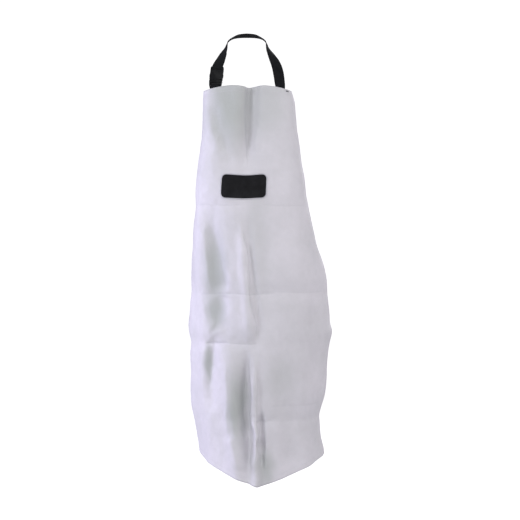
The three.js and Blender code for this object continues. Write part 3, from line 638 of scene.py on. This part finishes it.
def between(tree, amount, low, high):
    """A colour between two, or a number between two, by an amount."""
    if isinstance(low, tuple):
        node = tree.nodes.new("ShaderNodeMix")
        node.data_type = "RGBA"
        node.inputs[COLOUR_A].default_value = (*low, 1)
        node.inputs[COLOUR_B].default_value = (*high, 1)
        tree.links.new(amount, node.inputs["Factor"])
        return node.outputs[COLOUR_OUT]
    node = tree.nodes.new("ShaderNodeMapRange")
    node.inputs["To Min"].default_value = low
    node.inputs["To Max"].default_value = high
    tree.links.new(amount, node.inputs["Value"])
    return node.outputs["Result"]


def over_colour(tree, amount, below, above):
    """A colour laid over another socket's colour by an amount."""
    node = tree.nodes.new("ShaderNodeMix")
    node.data_type = "RGBA"
    tree.links.new(amount, node.inputs["Factor"])
    tree.links.new(below, node.inputs[COLOUR_A])
    node.inputs[COLOUR_B].default_value = (*above, 1)
    return node.outputs[COLOUR_OUT]


def bumps(tree, surface, *layers):
    """Bump nodes one on the other, from (height, distance, strength)."""
    below = None
    for height, distance, strength in layers:
        node = tree.nodes.new("ShaderNodeBump")
        node.inputs["Distance"].default_value = distance
        node.inputs["Strength"].default_value = strength
        tree.links.new(height, node.inputs["Height"])
        if below:
            tree.links.new(below, node.inputs["Normal"])
        below = node.outputs["Normal"]
    tree.links.new(below, surface.inputs["Normal"])


def flat_vector(tree):
    """The piece's places laid flat, in metres."""
    node = tree.nodes.new("ShaderNodeUVMap")
    node.uv_map = "laid_flat"
    return node.outputs["UV"]


def piece_vector(tree):
    """The piece's places as it is worn, in metres."""
    return tree.nodes.new("ShaderNodeTexCoord").outputs["Object"]


def laid_value(tree, name):
    """A value that lay_values laid on the piece."""
    node = tree.nodes.new("ShaderNodeAttribute")
    node.attribute_name = name
    return node.outputs["Fac"]


# The coating: pale with a lavender sheen and mottled, with painted shade laid on it: grey-green in the hollows
# of the folds and darker along the creases. The weave just shows through.
coated_cloth, tree, surface = shader(
    "cloth_coating", roughness=0.55, Sheen_Weight=0.12, Sheen_Tint=(0.8, 0.78, 1, 1), Sheen_Roughness=0.4
)
laid, place = flat_vector(tree), piece_vector(tree)
patches = place_effect(tree, mottling, place, Patches=7.0)
specks = place_effect(tree, mottling, place, Patches=60.0, Detail=6.0)
colour = between(tree, patches, (0.6, 0.59, 0.625), (0.69, 0.67, 0.72))
# Painted shade: grey-green laid over the hollows of the folds.
colour = over_colour(tree, between(tree, laid_value(tree, "painted_fold_shade"), 0.0, 0.85), colour, (0.4, 0.425, 0.41))
colour = over_colour(tree, between(tree, specks, 0.0, 0.12), colour, (0.46, 0.47, 0.47))
# Painted shade: darker along the crease lines.
colour = over_colour(tree, between(tree, laid_value(tree, "painted_crease_shade"), 0.0, 0.25), colour, (0.5, 0.5, 0.53))
tree.links.new(colour, surface.inputs["Base Color"])
tree.links.new(between(tree, specks, 0.48, 0.64), surface.inputs["Roughness"])
bumps(
    tree,
    surface,
    (place_effect(tree, mottling, place, Patches=26.0, Detail=3.0), 0.003, 0.3),
    (place_effect(tree, mottling, place, Patches=240.0, Detail=2.0), 0.0004, 0.35),
    (place_effect(tree, weave, laid, Warp=0.0009, Weft=0.0009), 0.00018, 0.5),
)
cloth = mesh_piece(
    "cloth_panel", cloth_points.reshape(-1, 3), grid_faces(*cloth_points.shape[:2]), coated_cloth
)
lay_uv(cloth, flat_x, -seen_z)
# Painted shade: how dark each point along the crease lines is painted.
lay_values(cloth, "painted_crease_shade", painted_crease_shade)
# Painted shade: how much grey-green each point of the fold hollows takes.
lay_values(cloth, "painted_fold_shade", painted_fold_shade)
wall = cloth.modifiers.new("wall", "SOLIDIFY")
wall.thickness = CLOTH
wall.offset = -1
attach(cloth, "root")
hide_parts("apron_panel")


# Stitches: short tubes of thread laid end to end along a seam, each turned to the seam and to the cloth.
def stitch_tree():
    """A Geometry Nodes tree that lays one stitch on each point, along its run and proud of its out."""
    group = bpy.data.node_groups.new("row_of_stitches", "GeometryNodeTree")
    face = group.interface
    face.new_socket("Geometry", in_out="INPUT", socket_type="NodeSocketGeometry")
    face.new_socket("Stitch Length", in_out="INPUT", socket_type="NodeSocketFloat")
    face.new_socket("Thread Width", in_out="INPUT", socket_type="NodeSocketFloat")
    face.new_socket("Thread", in_out="INPUT", socket_type="NodeSocketMaterial")
    face.new_socket("Geometry", in_out="OUTPUT", socket_type="NodeSocketGeometry")
    made, link = group.nodes.new, group.links.new
    given, result = made("NodeGroupInput"), made("NodeGroupOutput")
    thread = made("GeometryNodeMeshUVSphere")
    thread.inputs["Segments"].default_value = 6
    thread.inputs["Rings"].default_value = 4
    thread.inputs["Radius"].default_value = 0.5
    size = made("ShaderNodeCombineXYZ")
    link(given.outputs["Stitch Length"], size.inputs["X"])
    link(given.outputs["Thread Width"], size.inputs["Y"])
    link(given.outputs["Thread Width"], size.inputs["Z"])
    turned = None
    for name, axis, pivot in (("run", "X", "AUTO"), ("out", "Z", "X")):
        way = made("GeometryNodeInputNamedAttribute")
        way.data_type = "FLOAT_VECTOR"
        way.inputs["Name"].default_value = name
        turn = made("FunctionNodeAlignRotationToVector")
        turn.axis, turn.pivot_axis = axis, pivot
        link(way.outputs["Attribute"], turn.inputs["Vector"])
        if turned:
            link(turned.outputs["Rotation"], turn.inputs["Rotation"])
        turned = turn
    lay = made("GeometryNodeInstanceOnPoints")
    link(given.outputs["Geometry"], lay.inputs["Points"])
    link(thread.outputs["Mesh"], lay.inputs["Instance"])
    link(turned.outputs["Rotation"], lay.inputs["Rotation"])
    link(size.outputs["Vector"], lay.inputs["Scale"])
    real = made("GeometryNodeRealizeInstances")
    link(lay.outputs["Instances"], real.inputs["Geometry"])
    round_shade = made("GeometryNodeSetShadeSmooth")
    link(real.outputs["Geometry"], round_shade.inputs["Geometry"])
    finish = made("GeometryNodeSetMaterial")
    link(round_shade.outputs["Geometry"], finish.inputs["Geometry"])
    link(given.outputs["Thread"], finish.inputs["Material"])
    link(finish.outputs["Geometry"], result.inputs["Geometry"])
    return group


STITCHES = stitch_tree()


def stitch_piece(name, places, length, width, thread):
    """Stitches at places, each (point, run, out), as one mesh."""
    seam = mesh_piece(name + "_seam", [p for p, _, _ in places], [], thread)
    for k, key in ((1, "run"), (2, "out")):
        attribute = seam.data.attributes.new(key, "FLOAT_VECTOR", "POINT")
        attribute.data.foreach_set("vector", np.array([place[k] for place in places], np.float32).ravel())
    sewing = seam.modifiers.new("sewing", "NODES")
    sewing.node_group = STITCHES
    values = {"Stitch Length": length, "Thread Width": width, "Thread": thread}
    for socket in STITCHES.interface.items_tree:
        if socket.in_out == "INPUT" and socket.name in values:
            sewing[socket.identifier] = values[socket.name]
    evaluated = seam.evaluated_get(bpy.context.evaluated_depsgraph_get())
    data = bpy.data.meshes.new_from_object(evaluated)
    data.name = name
    piece = bpy.data.objects.new(name, data)
    scene.collection.objects.link(piece)
    bpy.data.objects.remove(seam)
    return piece


def cloth_at(share, flat):
    """A point of the cloth and the way it faces, at a share of its length and a flat distance across."""
    i = np.interp(share, along, np.arange(len(along)))
    i0 = min(int(i), len(along) - 2)
    at = []
    for row in (i0, i0 + 1):
        j = np.interp(flat, flat_x[row], np.arange(len(across)))
        j0 = min(int(j), len(across) - 2)
        t = j - j0
        at.append([
            grid[row, j0] * (1 - t) + grid[row, j0 + 1] * t for grid in (cloth_points, cloth_normals)
        ])
    t = i - i0
    point, out = (at[0][k] * (1 - t) + at[1][k] * t for k in (0, 1))
    return point, out / np.linalg.norm(out)


def spaced(path, pitch, lift=0.0):
    """Places every pitch along a path of (point, out): (point, run, out), lifted off the cloth."""
    points = np.array([p for p, _ in path])
    outs = np.array([o for _, o in path])
    run = np.concatenate([[0], np.cumsum(np.linalg.norm(np.diff(points, axis=0), axis=1))])
    at = np.arange(pitch / 2, run[-1], pitch)

    def pick(values, places):
        return np.stack([np.interp(places, run, values[:, k]) for k in range(3)], 1)

    ways = pick(points, at + pitch / 4) - pick(points, at - pitch / 4)
    ways /= np.linalg.norm(ways, axis=1, keepdims=True)
    faces = pick(outs, at)
    faces /= np.linalg.norm(faces, axis=1, keepdims=True)
    return [(p + o * lift, r, o) for p, r, o in zip(pick(points, at), ways, faces)]


# The hem's seam: one row of lockstitch in thread of the cloth's colour, along the top, the sides and the
# lower edge.
SEAM_IN = HEM_WIDTH - SEAM_OUT
STITCH_LENGTH = 0.0036
STITCH_PITCH = 0.0046
THREAD_WIDTH = 0.0007
THREAD_PROUD = 5
pale_thread, tree, surface = shader("pale_thread", roughness=0.7)
place = piece_vector(tree)
fluff = place_effect(tree, mottling, place, Patches=900.0, Detail=2.0)
tree.links.new(between(tree, fluff, (0.5, 0.5, 0.54), (0.66, 0.65, 0.7)), surface.inputs["Base Color"])
bumps(tree, surface, (fluff, 0.0002, 0.5))
seam_paths = []
for side in (-1, 1):
    path = []
    for share in along:
        half = np.interp(share, along, flat_x[:, 0 if side < 0 else -1])
        far = np.interp(share, along, from_hem[:, 0 if side < 0 else -1])
        near = np.interp(share, along, flat_down[:, 0 if side < 0 else -1])
        if min(far, near) > SEAM_IN:
            path.append(cloth_at(share, half - side * SEAM_IN))
    seam_paths.append(path)
for distance, first in ((from_top, True), (from_hem, False)):
    path = []
    for j in range(len(across)):
        column = distance[:, j] if first else distance[::-1, j]
        share = np.interp(SEAM_IN, column, along if first else along[::-1])
        u = np.interp(share, along, flat_x[:, j])
        ends = [np.interp(share, along, flat_x[:, k]) for k in (0, -1)]
        if ends[0] + SEAM_IN < u < ends[1] - SEAM_IN:
            path.append(cloth_at(share, u))
    seam_paths.append(path)
hem_places = [at for path in seam_paths for at in spaced(path, STITCH_PITCH, THREAD_WIDTH / THREAD_PROUD)]
hem_stitches = stitch_piece("hem_stitches", hem_places, STITCH_LENGTH, THREAD_WIDTH, pale_thread)
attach(hem_stitches, "root")

# The tack that shows in front where the neck strap is sewn on behind: a short close row of grey stitches.
TACK_AT = (0.111, -0.1746)
TACK_PITCH = 0.0009
TACK_COUNT = 11
TACK_LENGTH = 0.0045
TACK_LIFT = 0.0002
TACK_THREAD = TACK_PITCH * 1.1
grey_thread, tree, surface = shader("grey_thread", roughness=0.75, Specular_IOR_Level=0.3)
fluff = place_effect(tree, mottling, piece_vector(tree), Patches=900.0, Detail=2.0)
tree.links.new(between(tree, fluff, (0.13, 0.13, 0.14), (0.22, 0.22, 0.23)), surface.inputs["Base Color"])
bumps(tree, surface, (fluff, 0.0002, 0.5))
i, j = np.unravel_index(np.argmin(np.hypot(seen_x - TACK_AT[0], seen_z - TACK_AT[1])), seen_x.shape)
tack_places = []
for k in range(TACK_COUNT):
    u = flat_x[i, j] + (k - (TACK_COUNT - 1) / 2) * TACK_PITCH
    point, out = cloth_at(along[i], u)
    below, _ = cloth_at(along[i + 1], u)
    tack_places.append((point + out * TACK_LIFT, (below - point) / np.linalg.norm(below - point), out))
strap_tack = stitch_piece("strap_tack", tack_places, TACK_LENGTH, TACK_THREAD, grey_thread)
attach(strap_tack, "root")


# The patch on the chest: plain dark twill with rounded corners, sewn flat on the cloth below the bib's top
# edge, its own edge bound with pale overlock stitches.
PATCH_SIZE = (0.126, 0.068)
PATCH_CORNER = 0.014
PATCH_DOWN = 0.275
PATCH_THICK = 0.001
PATCH_STEP = 0.002
BORDER_WIDTH = 0.0036
BORDER_PITCH = 0.0011
BORDER_THREAD = BORDER_PITCH * 1.15
BORDER_IN = 0.6
CORNER_STEPS = 8


def patch_place(x, y, lift):
    """A place over the patch: x to the right and y down from its middle."""
    point, out = cloth_at((PATCH_DOWN + y) / CLOTH_FLAT[1], x)
    return point + out * lift, out


def patch_reach(y):
    """Half the patch's width at a height from its middle."""
    into = max(abs(y) - (PATCH_SIZE[1] / 2 - PATCH_CORNER), 0)
    return PATCH_SIZE[0] / 2 - PATCH_CORNER + (PATCH_CORNER**2 - min(into, PATCH_CORNER) ** 2) ** 0.5


patch_rows = int(PATCH_SIZE[1] / PATCH_STEP)
patch_columns = int(PATCH_SIZE[0] / PATCH_STEP)
patch_points, patch_uv = [], []
for i in range(patch_rows + 1):
    y = -cos(pi * i / patch_rows) * PATCH_SIZE[1] / 2
    for j in range(patch_columns + 1):
        x = patch_reach(y) * (2 * j / patch_columns - 1)
        patch_points.append(patch_place(x, y, PATCH_THICK)[0])
        patch_uv.append((x, y))
dark_twill, tree, surface = shader("dark_twill", roughness=0.8, Specular_IOR_Level=0.15)
laid = flat_vector(tree)
threads = place_effect(tree, weave, laid, Warp=0.0007, Weft=0.0014)
worn = place_effect(tree, mottling, piece_vector(tree), Patches=40.0)
tree.links.new(between(tree, worn, (0.007, 0.007, 0.008), (0.014, 0.014, 0.016)), surface.inputs["Base Color"])
bumps(tree, surface, (threads, 0.0003, 0.7))
patch = mesh_piece("patch", patch_points, grid_faces(patch_rows + 1, patch_columns + 1), dark_twill)
lay_uv(patch, [u for u, _ in patch_uv], [v for _, v in patch_uv])
wall = patch.modifiers.new("wall", "SOLIDIFY")
wall.thickness = PATCH_THICK
wall.offset = -1

border = []
for side_x, side_y, start in ((1, -1, -90), (1, 1, 0), (-1, 1, 90), (-1, -1, 180)):
    for step in range(CORNER_STEPS + 1):
        turn = radians(start + 90 * step / CORNER_STEPS)
        border.append((
            side_x * (PATCH_SIZE[0] / 2 - PATCH_CORNER) + PATCH_CORNER * cos(turn),
            side_y * (PATCH_SIZE[1] / 2 - PATCH_CORNER) + PATCH_CORNER * sin(turn),
        ))
border = np.array(border + border[:1])
border_run = np.concatenate([[0], np.cumsum(np.linalg.norm(np.diff(border, axis=0), axis=1))])
border_places = []
for at in np.arange(0, border_run[-1], BORDER_PITCH):
    x, y = (np.interp(at, border_run, border[:, k]) for k in (0, 1))
    later = (at + PATCH_STEP) % border_run[-1]
    next_x, next_y = (np.interp(later, border_run, border[:, k]) for k in (0, 1))
    inward = np.array([-(next_y - y), next_x - x])
    inward *= BORDER_WIDTH / 2 / np.linalg.norm(inward)
    point, out = patch_place(x + inward[0] * BORDER_IN, y + inward[1] * BORDER_IN, PATCH_THICK)
    inner, _ = patch_place(x + inward[0], y + inward[1], PATCH_THICK)
    border_places.append((point, (inner - point) / np.linalg.norm(inner - point), out))
border_stitches = stitch_piece("patch_border", border_places, BORDER_WIDTH, BORDER_THREAD, pale_thread)
for piece in (patch, border_stitches):
    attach(piece, "root")
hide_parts("chest_patch")


# Webbing: ribbed black tape with a thicker selvedge at each side. One length goes from behind the bib round
# the neck to the buckle, a short one from the buckle to the bib's other corner, and two meet behind the waist.
WEBBING_WIDTH = 0.03
WEBBING = 0.0014
WEBBING_STEP = 0.003
SELVEDGE = 0.0022
SELVEDGE_PROUD = 0.00012
SELVEDGE_EDGE = 0.4
SECTION_STEPS = 10
RING_POINTS = 6
END_FACES = 4
SAME_WAY = 0.95


def webbing_rings(node):
    """Rings of six points across a webbing solid, from one end to the other: three on each face."""
    shape = joined(node)
    for start in shape.faces:
        end, growing = {start}, [start]
        while growing and len(end) <= END_FACES + 1:
            near = {f for e in growing.pop().edges for f in e.link_faces} - end
            level = {f for f in near if f.normal.dot(start.normal) > SAME_WAY}
            end |= level
            growing += level
        points = {v for f in end for v in f.verts}
        if len(end) == END_FACES and len(points) == RING_POINTS:
            rings = rings_from(points, set(shape.verts))
            if all(len(ring) == RING_POINTS for ring in rings):
                break
    rings = [[v.co.copy() for v in ring] for ring in rings]
    assert all(len(ring) == RING_POINTS for ring in rings), f"{node.name} has no straight end"
    shape.free()
    # The first ring's longest and next longest spreads are the webbing's width and thickness.
    first = sorted(rings[0], key=tuple)
    spread = np.array(first) - np.mean(first, axis=0)
    wide, thick = (Vector(axis) for axis in np.linalg.svd(spread)[2][:2])
    upper = sorted(first, key=lambda v: -v.dot(thick))
    order = sorted(upper[:3], key=lambda v: v.dot(wide)) + sorted(upper[3:], key=lambda v: v.dot(wide))
    ordered = [order]
    for ring in rings[1:]:
        last = ordered[-1]
        nearest = min(permutations(ring), key=lambda p: sum((a - b).length for a, b in zip(p, last)))
        ordered.append(list(nearest))
    return np.array([[tuple(v) for v in ring] for ring in ordered])


def webbing_piece(name, node, material):
    """Fine webbing that lies where the node's solid lies: its lines (left, middle, right) and their run."""
    rings = webbing_rings(nodes[node])
    mids = (rings[:, :3] + rings[:, 3:]) / 2
    outs = (rings[:, :3] - rings[:, 3:]).mean(axis=1)
    lengths = np.linalg.norm(np.diff(mids[:, 1], axis=0), axis=1)
    knots = np.arange(len(rings), dtype=float)
    fine = [0.0]
    for k, length in enumerate(lengths):
        parts = max(2, ceil(length / WEBBING_STEP))
        fine += [k + (i + 1) / parts for i in range(parts)]
    fine = np.array(fine)
    mids = smooth_between(knots, mids, fine)
    outs = smooth_between(knots, outs, fine)
    outs /= np.linalg.norm(outs, axis=1, keepdims=True)
    run = np.concatenate([[0], np.cumsum(np.linalg.norm(np.diff(mids[:, 1], axis=0), axis=1))])
    section = []
    for k in range(SECTION_STEPS + 1):
        x = -cos(pi * k / SECTION_STEPS)
        edge = (1 - abs(x)) * WEBBING_WIDTH / 2
        half = WEBBING / 2 + SELVEDGE_PROUD * (edge < SELVEDGE)
        section.append((x, half * (SELVEDGE_EDGE if abs(x) == 1 else 1)))
    section += [(x, -y) for x, y in reversed(section)]
    points, u, v = [], [], []
    for at, mid, out in zip(run, mids, outs):
        for x, y in section:
            on_line = mid[1] + x * (mid[2] - mid[0]) / 2 + x * x * ((mid[2] + mid[0]) / 2 - mid[1])
            points.append(on_line + out * y)
            u.append(x * WEBBING_WIDTH / 2)
            v.append(at)
    count = len(section)
    faces = []
    for i in range(len(run) - 1):
        for j in range(count):
            a, b = i * count + j, i * count + (j + 1) % count
            faces.append((a, b, b + count, a + count))
    last = (len(run) - 1) * count
    faces += [tuple(range(count))[::-1], tuple(range(last, last + count))]
    piece = mesh_piece(name, points, faces, material)
    shape = bmesh.new()
    shape.from_mesh(piece.data)
    bmesh.ops.recalc_face_normals(shape, faces=shape.faces)
    shape.to_mesh(piece.data)
    shape.free()
    lay_uv(piece, u, v)
    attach(piece, "root")
    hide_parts(node)
    return mids, run


black_webbing, tree, surface = shader("black_webbing", roughness=0.8, Specular_IOR_Level=0.1)
laid = flat_vector(tree)
ribs = place_effect(tree, weave, laid, Warp=0.0016, Weft=0.0024)
dust = place_effect(tree, mottling, piece_vector(tree), Patches=55.0, Detail=5.0)
colour = between(tree, ribs, (0.0035, 0.004, 0.005), (0.0075, 0.008, 0.0095))
colour = over_colour(tree, between(tree, dust, 0.0, 0.08), colour, (0.06, 0.06, 0.06))
tree.links.new(colour, surface.inputs["Base Color"])
tree.links.new(between(tree, ribs, 0.95, 0.7), surface.inputs["Roughness"])
bumps(tree, surface, (ribs, 0.0004, 0.8), (dust, 0.0003, 0.2))
webbings = [
    webbing_piece("neck_webbing", "neck_strap", black_webbing),
    webbing_piece("tab_webbing", "neck_tab", black_webbing),
    webbing_piece("waist_webbing_left", "waist_strap_left", black_webbing),
    webbing_piece("waist_webbing_right", "waist_strap_right", black_webbing),
]

# Where webbing is sewn on: a crossed box of grey stitches on its face towards the wearer, who stands round
# WEARER (x, y).
BOX_FROM = 0.005
BOX_TO = 0.034
BOX_HALF = 0.011
BOX_PITCH = 0.0027
BOX_STITCH = 0.0021
BOX_THREAD = 0.0006
BOX_STEPS = 12
WEARER = np.array([0.04, -0.03])


def box_place(mids, run, s, x):
    """A place on the sewn end of a webbing, s from its end and x from its middle, and the way to the wearer."""
    left, middle, right = (
        np.array([np.interp(s, run, mids[:, k, axis]) for axis in range(3)]) for k in range(3)
    )
    later = np.array([np.interp(s + WEBBING_STEP, run, mids[:, 1, axis]) for axis in range(3)])
    out = np.cross(right - left, later - middle)
    out /= np.linalg.norm(out)
    if out[:2] @ (WEARER - middle[:2]) < 0:
        out = -out
    share = x / (WEBBING_WIDTH / 2)
    point = middle + share * (right - left) / 2 + share * share * ((right + left) / 2 - middle)
    return point + out * (WEBBING / 2 + SELVEDGE_PROUD), out


box_places = []
for k, (mids, run) in enumerate(webbings):
    # The neck webbings are sewn at their lower end, and of the tab's two layers the one towards the wearer
    # shows. The waist webbings are sewn at the end away from the middle.
    first, last = mids[0, 1], mids[-1, 1]
    lower = (round(last[2], 2), -last[1]) < (round(first[2], 2), -first[1])
    sewn_last = lower if k < 2 else abs(last[0]) > abs(first[0])
    if sewn_last:
        mids, run = mids[::-1], (run[-1] - run)[::-1]
    corners = [(BOX_FROM, -BOX_HALF), (BOX_FROM, BOX_HALF), (BOX_TO, BOX_HALF), (BOX_TO, -BOX_HALF)]
    rows = [*zip(corners, corners[1:] + corners[:1]), (corners[0], corners[2]), (corners[1], corners[3])]
    for (s0, x0), (s1, x1) in rows:
        shares = np.linspace(0, 1, BOX_STEPS)
        path = [box_place(mids, run, s0 + (s1 - s0) * t, x0 + (x1 - x0) * t) for t in shares]
        box_places += spaced(path, BOX_PITCH, BOX_THREAD / THREAD_PROUD)
box_stitches = stitch_piece("box_stitches", box_places, BOX_STITCH, BOX_THREAD, grey_thread)
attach(box_stitches, "root")


# The neck buckle and the waist clasp: moulded black plastic, their edges rounded by the mould. The buckle's
# socket takes the neck webbing, its plug the short tab, and the clasp joins the waist webbings behind.
MOULD_ROUND = 0.0005
MOULD_ROUND_STEPS = 2
MOULD_ANGLE = 28
black_plastic, tree, surface = shader("black_plastic", roughness=0.45, Specular_IOR_Level=0.1)
place = piece_vector(tree)
scuffs = place_effect(tree, mottling, place, Patches=130.0, Detail=6.0)
grain = place_effect(tree, mottling, place, Patches=1400.0, Detail=2.0)
colour = between(tree, scuffs, (0.0045, 0.005, 0.0055), (0.009, 0.0095, 0.0105))
tree.links.new(colour, surface.inputs["Base Color"])
tree.links.new(between(tree, scuffs, 0.34, 0.52), surface.inputs["Roughness"])
bumps(tree, surface, (grain, 0.0001, 0.25))


def moulded(name, node):
    """A copy of a node's solid with its edges rounded."""
    shape = joined(nodes[node])
    data = bpy.data.meshes.new(name)
    shape.to_mesh(data)
    shape.free()
    data.materials.clear()
    data.materials.append(black_plastic)
    piece = bpy.data.objects.new(name, data)
    scene.collection.objects.link(piece)
    data.polygons.foreach_set("use_smooth", [True] * len(data.polygons))
    rounding = piece.modifiers.new("rounding", "BEVEL")
    rounding.width = MOULD_ROUND
    rounding.segments = MOULD_ROUND_STEPS
    rounding.limit_method = "ANGLE"
    rounding.angle_limit = radians(MOULD_ANGLE)
    rounding.harden_normals = True
    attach(piece, "root")
    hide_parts(node)


moulded("socket_shell", "buckle_socket")
moulded("plug_body", "buckle_plug")
moulded("clasp_plate", "waist_clasp")
